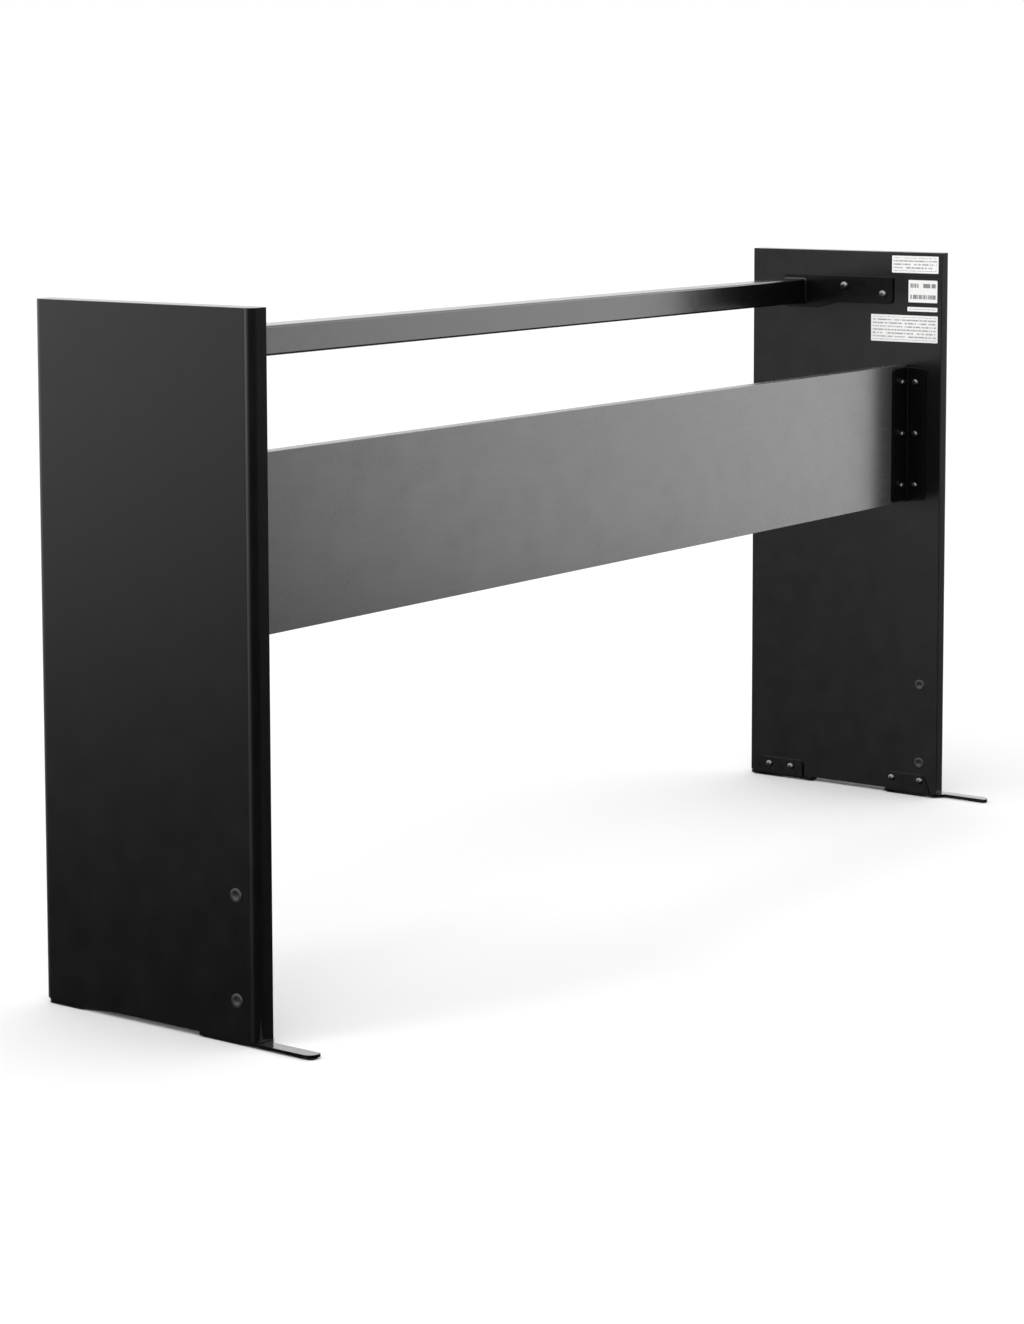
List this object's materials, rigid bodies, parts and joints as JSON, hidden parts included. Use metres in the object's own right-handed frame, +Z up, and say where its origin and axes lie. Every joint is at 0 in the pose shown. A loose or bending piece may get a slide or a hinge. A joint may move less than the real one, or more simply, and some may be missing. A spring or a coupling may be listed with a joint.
{
  "type": "digital piano stand",
  "caption": "Rigid stand for a full-length digital piano, with side panels, a modesty board, a steel crossbar and low steel feet.",
  "frame": {"origin": "on the floor, under the middle of the stand's outline", "axes": "+X across the width towards the player's right, -Y towards the player, +Z up"},
  "size_m": [1.3024, 0.3274, 0.668],
  "materials": {
    "laminate": "black satin laminate with a fine leather-like emboss over particle board",
    "board_laminate": "smooth black semi-gloss laminate over particle board",
    "black_steel": "black semi-gloss powder coat on steel",
    "screw_steel": "dark nickel plated steel, cross recess heads",
    "insert_steel": "zinc plated steel",
    "cap_plastic": "black moulded plastic, satin",
    "pad_rubber": "black rubber, matt",
    "label_paper": "white paper label with blank grey rules"
  },
  "bodies": {
    "root": {"side_panel_left": "laminate", "side_panel_right": "laminate", "back_board": "board_laminate", "crossbar": "black_steel", "crossbar_end_plate_left": "black_steel", "crossbar_end_plate_right": "black_steel", "board_bracket_left": "black_steel", "board_bracket_right": "black_steel", "front_foot_left": "black_steel", "front_foot_right": "black_steel", "rear_foot_left": "black_steel", "rear_foot_right": "black_steel", "front_foot_pad_left": "pad_rubber", "front_foot_pad_right": "pad_rubber", "rear_foot_pad_left": "pad_rubber", "rear_foot_pad_right": "pad_rubber", "rear_tip_pad_left": "pad_rubber", "rear_tip_pad_right": "pad_rubber", "bracket_panel_screw_lower_left": "screw_steel", "bracket_panel_screw_lower_right": "screw_steel", "bracket_panel_screw_middle_left": "screw_steel", "bracket_panel_screw_middle_right": "screw_steel", "bracket_panel_screw_upper_left": "screw_steel", "bracket_panel_screw_upper_right": "screw_steel", "bracket_board_screw_lower_left": "screw_steel", "bracket_board_screw_lower_right": "screw_steel", "bracket_board_screw_middle_left": "screw_steel", "bracket_board_screw_middle_right": "screw_steel", "bracket_board_screw_upper_left": "screw_steel", "bracket_board_screw_upper_right": "screw_steel", "crossbar_bolt_front_left": "screw_steel", "crossbar_bolt_front_right": "screw_steel", "crossbar_bolt_rear_left": "screw_steel", "crossbar_bolt_rear_right": "screw_steel", "front_foot_screw_front_left": "screw_steel", "front_foot_screw_front_right": "screw_steel", "front_foot_screw_rear_left": "screw_steel", "front_foot_screw_rear_right": "screw_steel", "rear_foot_screw_front_left": "screw_steel", "rear_foot_screw_front_right": "screw_steel", "rear_foot_screw_rear_left": "screw_steel", "rear_foot_screw_rear_right": "screw_steel", "threaded_insert_front_left": "insert_steel", "threaded_insert_front_right": "insert_steel", "threaded_insert_rear_left": "insert_steel", "threaded_insert_rear_right": "insert_steel", "outer_hole_cap_lower_left": "cap_plastic", "outer_hole_cap_lower_right": "cap_plastic", "outer_hole_cap_upper_left": "cap_plastic", "outer_hole_cap_upper_right": "cap_plastic", "inner_hole_cap_lower_left": "cap_plastic", "inner_hole_cap_lower_right": "cap_plastic", "inner_hole_cap_upper_left": "cap_plastic", "inner_hole_cap_upper_right": "cap_plastic", "label_top": "label_paper", "label_square": "label_paper", "label_strip": "label_paper", "label_wide": "label_paper"}
  },
  "joints": []
}
